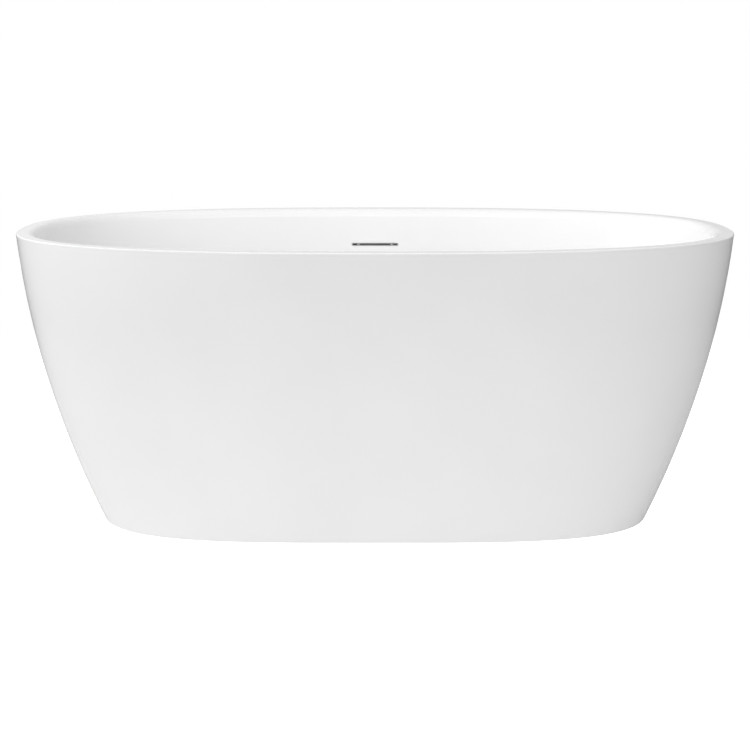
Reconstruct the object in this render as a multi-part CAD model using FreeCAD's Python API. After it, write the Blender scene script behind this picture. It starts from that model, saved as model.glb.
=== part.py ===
"""Freestanding double-wall acrylic bathtub, millimetres, +Z up.

The origin is on the floor under the middle of the tub. +X runs along the length, -Y is the front.
Each piece is written as its own STEP file in parts/.
"""
import FreeCAD, Part
import math
import os

from FreeCAD import Placement, Rotation, Vector

# ---------------------------------------------------------------- driving dimensions
# Outside of the tub
RIM_LENGTH = 1500.0
RIM_WIDTH = 750.0
TUB_HEIGHT = 600.0
FOOT_LENGTH = 1180.0            # outer shell where it meets the floor
FOOT_WIDTH = 600.0
RIM_SQUARENESS = 2.5            # superellipse exponent of the rim outline
FOOT_SQUARENESS = 3.6           # and of the outline at the floor
WALL_BOW = 0.55                 # share of the outer wall's taper that grows with the square of depth
SQUARENESS_LEAD = 0.6           # how early the outline turns squarer on the way down
SHELL_WALL = 5.0                # acrylic with its glass-fibre backing

# Rim and basin
RIM_LEDGE = 38.0                # outer edge to where the flat top would meet the basin wall
RIM_OUTER_RADIUS = 2.5
RIM_INNER_RADIUS = 20.0
FLOOR_TOP = 160.0               # height of the basin floor
FLOOR_LENGTH = 1068.0           # basin floor outline before its corner is rounded
FLOOR_WIDTH = 488.0
FLOOR_SQUARENESS = 2.6
BASIN_BOW = 0.3
FLOOR_RADIUS = 80.0             # between the basin wall and the floor
DISH_RADIUS = 150.0             # shallow cone that leads to the waste
DISH_DEPTH = 3.0

# Outer shell's flanges and the bonding bead
FLANGE_WALL = 4.0
FLANGE_CLEARANCE = 1.0          # between the flange and the rounding under the rim
BEAD_WALL = 1.5
BEAD_SET_BACK = 5.5             # outer edge of the bead from the rim's outer edge
FOOT_FLANGE_WIDTH = 35.0
FOOT_FLANGE_WALL = 5.0

# Base board under the floor
BOARD_WALL = 15.0
BOARD_INSET = 68.0              # from the floor outline, so that it stays on the flat part
BOARD_HOLE_RADIUS = 65.0

# Steel frame
TUBE_SIZE = 25.0
TUBE_WALL = 2.0
TUBE_CORNER = 3.0
RAIL_SET_IN = 36.0              # rail's end from the board's end
RAIL_SPREAD = 220.0             # between the rails' centre lines
CROSS_SET_IN = 50.0             # cross tube's centre line from the rails' ends
CROSS_PAST_BRACKET = 16.0       # cross tube's end beyond the bracket
CAP_INSERT = 12.0
CAP_HEAD = 2.0
CAP_CLEARANCE = 0.2

# Fasteners
M8_RADIUS = 4.0
M8_HEAD_RADIUS = 7.2
M8_HEAD_HEIGHT = 5.3
M8_NUT_HEIGHT = 6.5
M8_LENGTH = 44.0
HOLE_CLEARANCE = 0.25
THREAD_CLEARANCE = 0.05
SCREW_RADIUS = 2.4
SCREW_HEAD_RADIUS = 5.0
SCREW_HEAD_HEIGHT = 3.2
SCREW_HEAD_ROUNDING = 1.2
SCREW_POINT_CLEARANCE = 0.5
BOARD_SCREW_LENGTH = 37.0
BOARD_SCREW_SET_IN = 100.0      # outermost board screws from the cross tubes
BRACKET_SCREW_LENGTH = 14.0

# Levelling feet
FOOT_ROD_RADIUS = 6.0
FOOT_ROD_ABOVE = 17.0           # rod's end above its cross tube
FOOT_ROD_CHAMFER = 1.0
FOOT_FROM_BRACKET = 46.0
FOOT_NUT_RADIUS = 10.4
FOOT_NUT_HEIGHT = 10.0
LOCK_NUT_HEIGHT = 6.0
PAD_RADIUS = 25.0
PAD_EDGE = 7.0
PAD_HEIGHT = 15.0
PAD_SHOULDER = 4.0
PAD_NECK_RADIUS = 11.0
PAD_ROUNDING = 1.0
PAD_SOCKET_DEPTH = 10.0
SPANNER_HEX_RADIUS = 9.0
SPANNER_HEX_HEIGHT = 8.0

# Skirt brackets between the cross tubes and the outer shell's foot flange
BRACKET_WIDTH = 40.0
BRACKET_WALL = 3.0
BRACKET_SET_IN = 5.0            # upright from the flange's inner edge
BRACKET_TOP_LEG = 32.0
BRACKET_FOOT_LEG = 22.0
SKIRT_SCREW_SPREAD = 22.0

# Waste fitting at the middle of the floor
FLOOR_BOSS_RADIUS = 50.0
FLOOR_BOSS_DEPTH = 6.0
FLOOR_HOLE_RADIUS = 26.0
SEAT_RADIUS = 37.0
SEAT_DEPTH = 2.0
STRAINER_RADIUS = 35.5
STRAINER_LIP = 2.5
STRAINER_NECK_RADIUS = 23.75
STRAINER_NECK_BORE = 21.0
STRAINER_NECK_LENGTH = 48.0
STRAINER_MOUTH_RADIUS = 26.0
STRAINER_MOUTH_DEPTH = 3.5
SPIDER_ARMS = 4
SPIDER_ARM_WIDTH = 3.0
SPIDER_HEIGHT = 4.0
SPIDER_HUB_RADIUS = 9.0
TOP_GASKET_WALL = 1.2
UNDER_GASKET_WALL = 3.0
GASKET_SET_BACK = 0.5
STRAINER_EDGE_ROUNDING = 1.5
WASTE_FLANGE_RADIUS = 37.0
WASTE_FLANGE_WALL = 4.0
WASTE_RADIUS = 30.0
WASTE_THREAD_DEPTH = 44.0
WASTE_CHAMBER_RADIUS = 22.0
WASTE_CHAMBER_DEPTH = 62.0
WASTE_FLOOR_WALL = 6.0
WASTE_SPOUT_RADIUS = 23.5
WASTE_SPOUT_LENGTH = 24.0
INLET_DEPTH = 48.0              # inlet's axis below the top of the waste
SPIGOT_RADIUS = 11.0
SPIGOT_BORE = 9.0
INLET_LENGTH = 60.0             # from the waste's axis to the spigot's end
TAILPIECE_RADIUS = 19.05
TAILPIECE_BORE = 17.5
TAILPIECE_END = 12.0            # free end above the floor
TAILPIECE_ENTRY = 16.0          # how far it goes up the spout
TAILPIECE_SWAGE = 0.45          # its upper end is expanded, so that the nut can't drop off it
SWAGE_TAPER = 2.0
SLIP_WASHER_HEIGHT = 6.0
OUTLET_NUT_RADIUS = 29.0
OUTLET_NUT_OVERLAP = 14.0       # how far it goes up the spout
OUTLET_NUT_BEVEL = 2.0
OUTLET_NUT_LIP = 4.0
SLIDE_CLEARANCE = 0.06          # radial, in running fits
STATIC_CLEARANCE = 0.25         # radial, round parts that are only placed

# Push plug
CAP_RADIUS = 31.0
CAP_EDGE = 3.0
CAP_CROWN = 2.5
CAP_GAP = 0.2                   # between cap and strainer lip when shut
PLUG_BOSS_RADIUS = 10.0
PLUG_BOSS_LENGTH = 12.0
PLUG_STEM_RADIUS = 4.0
STEM_END_GAP = 4.7
SEAL_HEIGHT = 3.0
SEAL_INNER_RADIUS = 10.5
SEAL_GAP = 0.4
CARTRIDGE_RADIUS = 8.5
CARTRIDGE_LOWER_RADIUS = 5.9
CARTRIDGE_TAIL = 12.0
CARTRIDGE_END_WALL = 3.0
CARTRIDGE_GAP = 0.7             # between the plug's boss and the cartridge when shut
CARTRIDGE_ROUNDING = 1.0

# Slot overflow in the back wall
SLOT_BELOW_RIM = 83.0           # middle of the slot under the top of the rim
SLOT_LIP_LENGTH = 112.0
SLOT_LIP_WIDTH = 7.0
SLOT_LIP_WALL = 1.2
SLOT_LIP_POCKET = 0.6           # how deep the lip sits in the wall
SLOT_SLEEVE_LENGTH = 108.0
SLOT_SLEEVE_WIDTH = 5.0
SLOT_SLEEVE_WALL = 0.7
SLOT_SLEEVE_DEPTH = 9.0
SLOT_FIT = 0.15                 # round the sleeve and the lip
OVERFLOW_PAD_MARGIN = 2.0       # pad beyond the box on each side
OVERFLOW_PAD_BACK = 8.0         # from the basin face to the pad's flat back
OVERFLOW_GASKET_WALL = 2.0
OVERFLOW_GASKET_WIDTH = 4.0
OVERFLOW_BOX_LENGTH = 126.0
OVERFLOW_BOX_WIDTH = 38.0
OVERFLOW_BOX_DEPTH = 22.0
OVERFLOW_BOX_WALL = 3.0
OVERFLOW_BOX_CORNER = 8.0
OVERFLOW_SPIGOT_LENGTH = 26.0
POST_SPREAD = 80.0
POST_RADIUS = 2.6
POST_START = 6.0
M3_RADIUS = 1.45
M3_HEAD_RADIUS = 3.0
M3_HEAD_HEIGHT = 2.4
M3_LENGTH = 13.0

# Overflow hose
HOSE_RADIUS = 13.5
HOSE_BORE = 11.1
HOSE_GAP = 2.0                  # between the hose ends and the bodies that they point at
HOSE_FIRST_RUN = 100.0
HOSE_SECOND_RUN = 116.0
HOSE_THIRD_RUN = 115.0
HOSE_FIRST_TURN = 1.4           # degrees, inward
HOSE_SECOND_TURN = 1.7
HOSE_SLANT = 89.0               # how far the bend towards the waste reaches inward
HOSE_LAST_RUN = 53.0
HOSE_FALL = 2.0
HOSE_ARC_SHARE = 0.45           # an arc takes this share of its shorter run
CLAMP_WALL = 0.8
CLAMP_WIDTH = 9.0
CLAMP_SET_BACK = 5.0            # clamp's near edge from the hose's end
CLAMP_FIT = 0.05
CLAMP_HOUSING_LENGTH = 12.0
CLAMP_HOUSING_HEIGHT = 5.0
CLAMP_HOUSING_ROUNDING = 1.2
CLAMP_SCREW_RADIUS = 3.2
CLAMP_SCREW_HEAD = 4.0

# How the model is made
OUTLINE_POINTS = 64             # points of one outline curve
BASIN_LOFT_STEPS = 5
SKIRT_LOFT_STEPS = 8
OVERSHOOT = 1.0                 # how far a cutting tool runs past the face that it cuts
LEVEL_TOLERANCE = 0.02          # how level an edge has to be to count as lying at a height
ROUND_END_RELIEF = 0.01         # flat left between the two roundings of a round end
WALL_SLOPE_STEP = 5.0           # height step for measuring how far the basin wall leans

# ---------------------------------------------------------------- places that follow
RIM_UNDERSIDE = TUB_HEIGHT - SHELL_WALL
FLOOR_UNDERSIDE = FLOOR_TOP - SHELL_WALL
BOARD_UNDERSIDE = FLOOR_UNDERSIDE - BOARD_WALL
RAIL_UNDERSIDE = BOARD_UNDERSIDE - TUBE_SIZE
CROSS_UNDERSIDE = RAIL_UNDERSIDE - TUBE_SIZE
BOSS_UNDERSIDE = FLOOR_UNDERSIDE - FLOOR_BOSS_DEPTH
SEAT_LEVEL = FLOOR_TOP - DISH_DEPTH - SEAT_DEPTH
STRAINER_UNDERSIDE = SEAT_LEVEL + TOP_GASKET_WALL
STRAINER_TOP = STRAINER_UNDERSIDE + STRAINER_LIP
NECK_END = STRAINER_UNDERSIDE - STRAINER_NECK_LENGTH
SPIDER_TOP = NECK_END + 2 * SPIDER_HEIGHT
WASTE_TOP = BOSS_UNDERSIDE - UNDER_GASKET_WALL
CHAMBER_FLOOR = WASTE_TOP - WASTE_CHAMBER_DEPTH
SPOUT_END = CHAMBER_FLOOR - WASTE_SPOUT_LENGTH
INLET_HEIGHT = WASTE_TOP - INLET_DEPTH
TAILPIECE_TOP = SPOUT_END + TAILPIECE_ENTRY
OUTLET_NUT_TOP = SPOUT_END + OUTLET_NUT_OVERLAP
OUTLET_NUT_LOW = SPOUT_END - SLIP_WASHER_HEIGHT - OUTLET_NUT_LIP
SWAGE_RADIUS = TAILPIECE_RADIUS + TAILPIECE_SWAGE
CAP_UNDERSIDE = STRAINER_TOP + CAP_GAP
CARTRIDGE_TOP = CAP_UNDERSIDE - PLUG_BOSS_LENGTH - CARTRIDGE_GAP
CARTRIDGE_END = SPIDER_TOP - CARTRIDGE_TAIL
STEM_END = CARTRIDGE_END + CARTRIDGE_END_WALL + STEM_END_GAP
SLOT_LEVEL = TUB_HEIGHT - SLOT_BELOW_RIM
FLANGE_INSET = RIM_LEDGE - RIM_INNER_RADIUS - FLANGE_CLEARANCE
RAIL_LENGTH = FLOOR_LENGTH - 2 * (BOARD_INSET + RAIL_SET_IN)
CROSS_SPREAD = RAIL_LENGTH - 2 * CROSS_SET_IN
BOARD_SCREW_PITCH = (CROSS_SPREAD / 2 - BOARD_SCREW_SET_IN) / 2


# ---------------------------------------------------------------- outlines
def superellipse(half_x, half_y, power, inset=0.0):
    """Points of |x/half_x|^power + |y/half_y|^power = 1, each moved inward along the normal by inset."""
    points = []
    for k in range(OUTLINE_POINTS):
        turn = 2 * math.pi * k / OUTLINE_POINTS
        c, s = math.cos(turn), math.sin(turn)
        x = half_x * math.copysign(abs(c) ** (2 / power), c)
        y = half_y * math.copysign(abs(s) ** (2 / power), s)
        nx = math.copysign(abs(x / half_x) ** (power - 1), x) / half_x
        ny = math.copysign(abs(y / half_y) ** (power - 1), y) / half_y
        size = math.hypot(nx, ny)
        points.append((x - inset * nx / size, y - inset * ny / size))
    return points


def depth_curve(share, bow):
    """0 at the top and 1 at the bottom: a straight part and a part that grows with the square."""
    return (1 - bow) * share + bow * share ** 2


def outer_outline(z, inset=0.0):
    """Outline of the outer wall at height z."""
    share = (TUB_HEIGHT - z) / TUB_HEIGHT
    taper = depth_curve(share, WALL_BOW)
    turn = (1 + SQUARENESS_LEAD) * share - SQUARENESS_LEAD * share ** 2
    half_x = (RIM_LENGTH - (RIM_LENGTH - FOOT_LENGTH) * taper) / 2
    half_y = (RIM_WIDTH - (RIM_WIDTH - FOOT_WIDTH) * taper) / 2
    power = RIM_SQUARENESS + (FOOT_SQUARENESS - RIM_SQUARENESS) * turn
    return superellipse(half_x, half_y, power, inset)


def basin_outline(z, outset=0.0):
    """Outline of the basin wall at height z: the rim's own outline, set in, turns into the floor's outline."""
    share = depth_curve((TUB_HEIGHT - z) / (TUB_HEIGHT - FLOOR_TOP), BASIN_BOW)
    top = superellipse(RIM_LENGTH / 2, RIM_WIDTH / 2, RIM_SQUARENESS, RIM_LEDGE - outset)
    foot = superellipse(FLOOR_LENGTH / 2, FLOOR_WIDTH / 2, FLOOR_SQUARENESS, -outset)
    return [((1 - share) * tx + share * fx, (1 - share) * ty + share * fy)
            for (tx, ty), (fx, fy) in zip(top, foot)]


def wire(points, z):
    """One closed smooth curve through the points at height z."""
    curve = Part.BSplineCurve()
    curve.interpolate(Points=[Vector(x, y, z) for x, y in points], PeriodicFlag=True)
    return Part.Wire([curve.toShape()])


def slab(points, low, high):
    """A closed outline as a plate from low to high."""
    return Part.Face(wire(points, low)).extrude(Vector(0, 0, high - low))


def loft(outline, low, high, steps, offset=0.0):
    """A solid through the outlines at steps + 1 heights."""
    heights = [low + (high - low) * k / steps for k in range(steps + 1)]
    return Part.makeLoft([wire(outline(z, offset), z) for z in heights], True, False, False)


def edges_at(shape, z, longest=True):
    """The closed curves that lie at height z, the longest or the shortest one."""
    found = [e for e in shape.Edges
             if abs(e.BoundBox.ZMin - z) < LEVEL_TOLERANCE and abs(e.BoundBox.ZMax - z) < LEVEL_TOLERANCE]
    found.sort(key=lambda e: e.Length)
    return [found[-1] if longest else found[0]]


def disc(radius, low, high, x=0.0, y=0.0):
    return Part.makeCylinder(radius, high - low, Vector(x, y, low))


def ring(outer, inner, low, high, x=0.0, y=0.0):
    return disc(outer, low, high, x, y).cut(disc(inner, low - OVERSHOOT, high + OVERSHOOT, x, y))


def hexagon(radius, low, high, x=0.0, y=0.0):
    """A hexagonal bar; radius is to its corners."""
    corners = [Vector(x + radius * math.cos(math.pi * k / 3), y + radius * math.sin(math.pi * k / 3), low)
               for k in range(7)]
    return Part.Face(Part.makePolygon(corners)).extrude(Vector(0, 0, high - low))


def block(x0, x1, y0, y1, z0, z1):
    return Part.makeBox(x1 - x0, y1 - y0, z1 - z0, Vector(x0, y0, z0))


# ---------------------------------------------------------------- overflow's own frame
def overflow_placement():
    """X along the slot, Y out of the basin through the back wall, Z up the wall."""
    back = OUTLINE_POINTS // 4
    y_mid = basin_outline(SLOT_LEVEL)[back][1]
    y_above = basin_outline(SLOT_LEVEL + WALL_SLOPE_STEP)[back][1]
    y_below = basin_outline(SLOT_LEVEL - WALL_SLOPE_STEP)[back][1]
    lean = math.degrees(math.atan2(y_above - y_below, 2 * WALL_SLOPE_STEP))
    return Placement(Vector(0, y_mid, SLOT_LEVEL), Rotation(Vector(1, 0, 0), -lean))


OVERFLOW_PLACE = overflow_placement()
BOX_FACE = OVERFLOW_PAD_BACK + OVERFLOW_GASKET_WALL
BOX_BACK = BOX_FACE + OVERFLOW_BOX_DEPTH
BOX_MIDDLE = (BOX_FACE + BOX_BACK) / 2


def placed(shape):
    """A shape made in the overflow's frame, put on the back wall."""
    made = shape.copy()
    made.Placement = OVERFLOW_PLACE.multiply(made.Placement)
    return made


def pill(length, width, near, far, corner=None):
    """A bar along Y with a rounded-rectangle section, from near to far, in the overflow's frame."""
    corner = width / 2 - ROUND_END_RELIEF if corner is None else corner
    bar = block(-length / 2, length / 2, near, far, -width / 2, width / 2)
    along = [e for e in bar.Edges if e.BoundBox.XLength < 1e-6 and e.BoundBox.ZLength < 1e-6]
    return bar.makeFillet(corner, along)


def rod_along_y(radius, near, far, x, z=0.0):
    return Part.makeCylinder(radius, far - near, Vector(x, near, z), Vector(0, 1, 0))


# ---------------------------------------------------------------- shells
def basin_shell():
    """Inner shell with its rolled rim, one moulding."""
    rim = slab(outer_outline(TUB_HEIGHT), RIM_UNDERSIDE, TUB_HEIGHT)
    body = loft(basin_outline, FLOOR_UNDERSIDE, RIM_UNDERSIDE, BASIN_LOFT_STEPS, SHELL_WALL)
    body = body.makeFillet(FLOOR_RADIUS + SHELL_WALL, edges_at(body, FLOOR_UNDERSIDE))
    shell = rim.fuse(body)
    shell = shell.makeFillet(RIM_INNER_RADIUS - SHELL_WALL, edges_at(shell, RIM_UNDERSIDE, longest=False))
    cavity = loft(basin_outline, FLOOR_TOP, TUB_HEIGHT, BASIN_LOFT_STEPS)
    cavity = cavity.makeFillet(FLOOR_RADIUS, edges_at(cavity, FLOOR_TOP))
    shell = shell.cut(cavity)
    shell = shell.makeFillet(RIM_INNER_RADIUS, edges_at(shell, TUB_HEIGHT, longest=False))
    shell = shell.makeFillet(RIM_OUTER_RADIUS, edges_at(shell, TUB_HEIGHT))
    shell = shell.fuse(disc(FLOOR_BOSS_RADIUS, BOSS_UNDERSIDE, FLOOR_UNDERSIDE + SHELL_WALL / 2))
    dish = Part.makeCone(SEAT_RADIUS, DISH_RADIUS, DISH_DEPTH, Vector(0, 0, FLOOR_TOP - DISH_DEPTH))
    shell = shell.cut([dish, disc(SEAT_RADIUS, SEAT_LEVEL, FLOOR_TOP),
                       disc(FLOOR_HOLE_RADIUS, BOSS_UNDERSIDE - OVERSHOOT, FLOOR_TOP)])
    pad = placed(pill(OVERFLOW_BOX_LENGTH + 2 * OVERFLOW_PAD_MARGIN, OVERFLOW_BOX_WIDTH + 2 * OVERFLOW_PAD_MARGIN,
                      SHELL_WALL / 2, OVERFLOW_PAD_BACK, OVERFLOW_BOX_CORNER))
    hole = pill(SLOT_SLEEVE_LENGTH + 2 * SLOT_FIT, SLOT_SLEEVE_WIDTH + 2 * SLOT_FIT,
                -OVERSHOOT, OVERFLOW_PAD_BACK + OVERSHOOT)
    pocket = pill(SLOT_LIP_LENGTH + 2 * SLOT_FIT, SLOT_LIP_WIDTH + 2 * SLOT_FIT, -OVERSHOOT, SLOT_LIP_POCKET)
    return shell.fuse(pad).cut([placed(hole), placed(pocket)])


def outer_shell():
    """Outer skirt with a flange under the rim and one round its foot."""
    flange_top = RIM_UNDERSIDE - BEAD_WALL
    flange_low = flange_top - FLANGE_WALL
    over = RIM_UNDERSIDE + OVERSHOOT
    outside = loft(outer_outline, 0, RIM_UNDERSIDE, SKIRT_LOFT_STEPS)
    inside = loft(outer_outline, FOOT_FLANGE_WALL, flange_low, SKIRT_LOFT_STEPS, SHELL_WALL)
    top_hole = slab(outer_outline(RIM_UNDERSIDE, FLANGE_INSET), flange_low - OVERSHOOT, over)
    bead_space = slab(outer_outline(RIM_UNDERSIDE, SHELL_WALL), flange_top, over)
    foot_hole = slab(outer_outline(0, SHELL_WALL + FOOT_FLANGE_WIDTH), -OVERSHOOT, FOOT_FLANGE_WALL + OVERSHOOT)
    shell = outside.cut(inside)
    shell = shell.cut([top_hole, bead_space, foot_hole])
    return shell.cut(holes(SCREW_RADIUS + THREAD_CLEARANCE, 0, FOOT_FLANGE_WALL, skirt_screw_places()))


def rim_adhesive():
    """Cured bead that bonds the outer shell's flange to the underside of the rim."""
    low = RIM_UNDERSIDE - BEAD_WALL
    outer = slab(outer_outline(RIM_UNDERSIDE, BEAD_SET_BACK), low, RIM_UNDERSIDE)
    inner = slab(outer_outline(RIM_UNDERSIDE, FLANGE_INSET), low - OVERSHOOT, RIM_UNDERSIDE + OVERSHOOT)
    return outer.cut(inner)


def base_board():
    """Board bonded under the floor, with a hole round the waste."""
    board = slab(superellipse(FLOOR_LENGTH / 2, FLOOR_WIDTH / 2, FLOOR_SQUARENESS, BOARD_INSET),
                 BOARD_UNDERSIDE, FLOOR_UNDERSIDE)
    board = board.cut(disc(BOARD_HOLE_RADIUS, BOARD_UNDERSIDE - OVERSHOOT, FLOOR_UNDERSIDE + OVERSHOOT))
    pilot_end = RAIL_UNDERSIDE + BOARD_SCREW_LENGTH + SCREW_POINT_CLEARANCE
    pilots = [disc(SCREW_RADIUS + THREAD_CLEARANCE, BOARD_UNDERSIDE - OVERSHOOT, pilot_end, x, y)
              for x, y in board_screw_places()]
    return board.cut(pilots)


# ---------------------------------------------------------------- frame
def mirrored(half_x, half_y):
    """The four corners of a rectangle about the middle."""
    return [(sx * half_x, sy * half_y) for sx in (-1, 1) for sy in (-1, 1)]


def outline_y(points, x):
    """Largest Y of an outline at x, between its two nearest points."""
    for (x0, y0), (x1, y1) in zip(points, points[1:OUTLINE_POINTS // 2]):
        if x1 <= x <= x0:
            return y0 + (y1 - y0) * (x0 - x) / (x0 - x1)
    raise ValueError("no point of the outline at x = %g" % x)


FLANGE_EDGE = outline_y(outer_outline(0, SHELL_WALL + FOOT_FLANGE_WIDTH), CROSS_SPREAD / 2)
BRACKET_STAND = FLANGE_EDGE + BRACKET_SET_IN         # Y of the bracket's upright, inner face
CROSS_LENGTH = 2 * (BRACKET_STAND + BRACKET_WALL + CROSS_PAST_BRACKET)
CROSSINGS = mirrored(CROSS_SPREAD / 2, RAIL_SPREAD / 2)
FEET = mirrored(CROSS_SPREAD / 2, BRACKET_STAND - FOOT_FROM_BRACKET)


def board_screw_places():
    return [(step * BOARD_SCREW_PITCH, side * RAIL_SPREAD / 2) for step in (-2, -1, 1, 2) for side in (-1, 1)]


def holes(radius, low, high, places):
    """Cutters for upright round holes from low to high at each place."""
    return [disc(radius, low - OVERSHOOT, high + OVERSHOOT, x, y) for x, y in places]


def square_bar(x0, x1, size, corner):
    """Bar along X from x0 to x1 whose long edges are rounded."""
    bar = block(x0, x1, -size / 2, size / 2, -size / 2, size / 2)
    return bar.makeFillet(corner, [e for e in bar.Edges if e.BoundBox.XLength > (x1 - x0) / 2])


def square_tube(length, turn, x, y, low):
    """Square tube with rounded corners, centred on x, y; turn is 0 along X and 90 along Y."""
    bore = TUBE_SIZE - 2 * TUBE_WALL
    tube = square_bar(-length / 2, length / 2, TUBE_SIZE, TUBE_CORNER)
    tube = tube.cut(square_bar(-length / 2 - OVERSHOOT, length / 2 + OVERSHOOT, bore, TUBE_CORNER - TUBE_WALL))
    tube.Placement = Placement(Vector(x, y, low + TUBE_SIZE / 2), Rotation(Vector(0, 0, 1), turn))
    return tube


def frame_rail(side):
    """Long tube under the board; side is -1 for the front."""
    rail = square_tube(RAIL_LENGTH, 0, 0, side * RAIL_SPREAD / 2, RAIL_UNDERSIDE)
    bolts = [(x, y) for x, y in CROSSINGS if y * side > 0]
    screws = [(x, y) for x, y in board_screw_places() if y * side > 0]
    rail = rail.cut(holes(M8_RADIUS + HOLE_CLEARANCE, RAIL_UNDERSIDE, RAIL_UNDERSIDE + TUBE_WALL, bolts))
    return rail.cut(holes(SCREW_RADIUS + HOLE_CLEARANCE, RAIL_UNDERSIDE, BOARD_UNDERSIDE, screws))


def frame_cross(side):
    """Cross tube under the rails that carries two feet; side is -1 for the left."""
    tube = square_tube(CROSS_LENGTH, 90, side * CROSS_SPREAD / 2, 0, CROSS_UNDERSIDE)
    for radius, high, places in (
            (M8_RADIUS + HOLE_CLEARANCE, RAIL_UNDERSIDE, CROSSINGS),
            (FOOT_ROD_RADIUS + HOLE_CLEARANCE, RAIL_UNDERSIDE, FEET),
            (SCREW_RADIUS + HOLE_CLEARANCE, CROSS_UNDERSIDE + TUBE_WALL, top_screw_places())):
        tube = tube.cut(holes(radius, CROSS_UNDERSIDE, high, [(x, y) for x, y in places if x * side > 0]))
    return tube


def end_cap(half, turn, x, y, low):
    """Plastic cap in the end of a tube that is half long each way from x, y."""
    insert = square_bar(half - CAP_INSERT, half, TUBE_SIZE - 2 * (TUBE_WALL + CAP_CLEARANCE), TUBE_CORNER - TUBE_WALL)
    head = block(half, half + CAP_HEAD, -TUBE_SIZE / 2, TUBE_SIZE / 2, -TUBE_SIZE / 2, TUBE_SIZE / 2)
    head = head.makeFillet(CAP_HEAD / 2, [e for e in head.Edges if e.BoundBox.XMin > half + CAP_HEAD / 2])
    cap = insert.fuse(head)
    cap.Placement = Placement(Vector(x, y, low + TUBE_SIZE / 2), Rotation(Vector(0, 0, 1), turn))
    return cap


def tube_end_caps():
    """Caps pressed into the eight open tube ends."""
    caps = []
    for side in (-1, 1):
        for end in (0, 180):
            caps.append(end_cap(RAIL_LENGTH / 2, end, 0, side * RAIL_SPREAD / 2, RAIL_UNDERSIDE))
            caps.append(end_cap(CROSS_LENGTH / 2, end + 90, side * CROSS_SPREAD / 2, 0, CROSS_UNDERSIDE))
    return caps


def screw(x, y, seat, length, up=True):
    """Pan-head screw: its head's flat is at height seat, and its shank points up or down."""
    head = disc(SCREW_HEAD_RADIUS, 0, SCREW_HEAD_HEIGHT)
    head = head.makeFillet(SCREW_HEAD_ROUNDING, edges_at(head, SCREW_HEAD_HEIGHT))
    shank = disc(SCREW_RADIUS, -length, 0)
    made = head.fuse(shank)
    made.Placement = Placement(Vector(x, y, seat), Rotation(Vector(1, 0, 0), 180 if up else 0))
    return made


def board_screws():
    return [screw(x, y, RAIL_UNDERSIDE, BOARD_SCREW_LENGTH) for x, y in board_screw_places()]


def frame_bolts():
    """M8 bolts that hold each cross tube to the rails."""
    bolts = []
    for x, y in CROSSINGS:
        head = hexagon(M8_HEAD_RADIUS, CROSS_UNDERSIDE - M8_HEAD_HEIGHT, CROSS_UNDERSIDE, x, y)
        shank = disc(M8_RADIUS, CROSS_UNDERSIDE - M8_HEAD_HEIGHT / 2, CROSS_UNDERSIDE + M8_LENGTH, x, y)
        bolts.append(head.fuse(shank))
    return bolts


def nuts(radius, bore, low, height, places):
    """Hexagonal nuts, one at each place."""
    return [hexagon(radius, low, low + height, x, y).cut(disc(bore, low - OVERSHOOT, low + height + OVERSHOOT, x, y))
            for x, y in places]


def frame_nuts():
    """Nuts inside the rails, on the frame bolts."""
    return nuts(M8_HEAD_RADIUS, M8_RADIUS + THREAD_CLEARANCE, RAIL_UNDERSIDE + TUBE_WALL, M8_NUT_HEIGHT, CROSSINGS)


# ---------------------------------------------------------------- skirt brackets
def top_screw_places():
    """Where each bracket's top leg is screwed to its cross tube."""
    return mirrored(CROSS_SPREAD / 2, BRACKET_STAND - BRACKET_TOP_LEG / 2 + BRACKET_WALL)


def skirt_screw_places():
    """Where each bracket's foot leg is screwed to the outer shell's flange."""
    y = BRACKET_STAND + BRACKET_WALL + (BRACKET_FOOT_LEG - BRACKET_WALL) / 2
    return [(cx + dx, cy) for cx, cy in mirrored(CROSS_SPREAD / 2, y)
            for dx in (-SKIRT_SCREW_SPREAD / 2, SKIRT_SCREW_SPREAD / 2)]


def skirt_bracket(cx, side):
    """Z bracket from the underside of a cross tube to the outer shell's foot flange."""
    x0 = cx - BRACKET_WIDTH / 2
    x1 = cx + BRACKET_WIDTH / 2
    flange_top = FOOT_FLANGE_WALL + BRACKET_WALL
    stand_out = BRACKET_STAND + BRACKET_WALL
    top = block(x0, x1, stand_out - BRACKET_TOP_LEG, stand_out, CROSS_UNDERSIDE - BRACKET_WALL, CROSS_UNDERSIDE)
    upright = block(x0, x1, BRACKET_STAND, stand_out, FOOT_FLANGE_WALL, CROSS_UNDERSIDE)
    foot = block(x0, x1, BRACKET_STAND, BRACKET_STAND + BRACKET_FOOT_LEG, FOOT_FLANGE_WALL, flange_top)
    made = top.fuse([upright, foot]).removeSplitter()
    if side < 0:
        made = made.mirror(Vector(0, 0, 0), Vector(0, 1, 0))
    above = [(x, y) for x, y in top_screw_places() if x * cx > 0 and y * side > 0]
    below = [(x, y) for x, y in skirt_screw_places() if x * cx > 0 and y * side > 0]
    radius = SCREW_RADIUS + HOLE_CLEARANCE
    made = made.cut(holes(radius, CROSS_UNDERSIDE - BRACKET_WALL, CROSS_UNDERSIDE, above))
    return made.cut(holes(radius, FOOT_FLANGE_WALL, flange_top, below))


def bracket_screws():
    """Screws through the brackets: one up into each cross tube, two down into each flange stretch."""
    up = [screw(x, y, CROSS_UNDERSIDE - BRACKET_WALL, BRACKET_SCREW_LENGTH) for x, y in top_screw_places()]
    seat = FOOT_FLANGE_WALL + BRACKET_WALL
    down = [screw(x, y, seat, seat - SCREW_POINT_CLEARANCE, up=False) for x, y in skirt_screw_places()]
    return up + down


# ---------------------------------------------------------------- levelling feet
def nuts_round_rods(low, height):
    return nuts(FOOT_NUT_RADIUS, FOOT_ROD_RADIUS + SLIDE_CLEARANCE, low, height, FEET)


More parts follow.
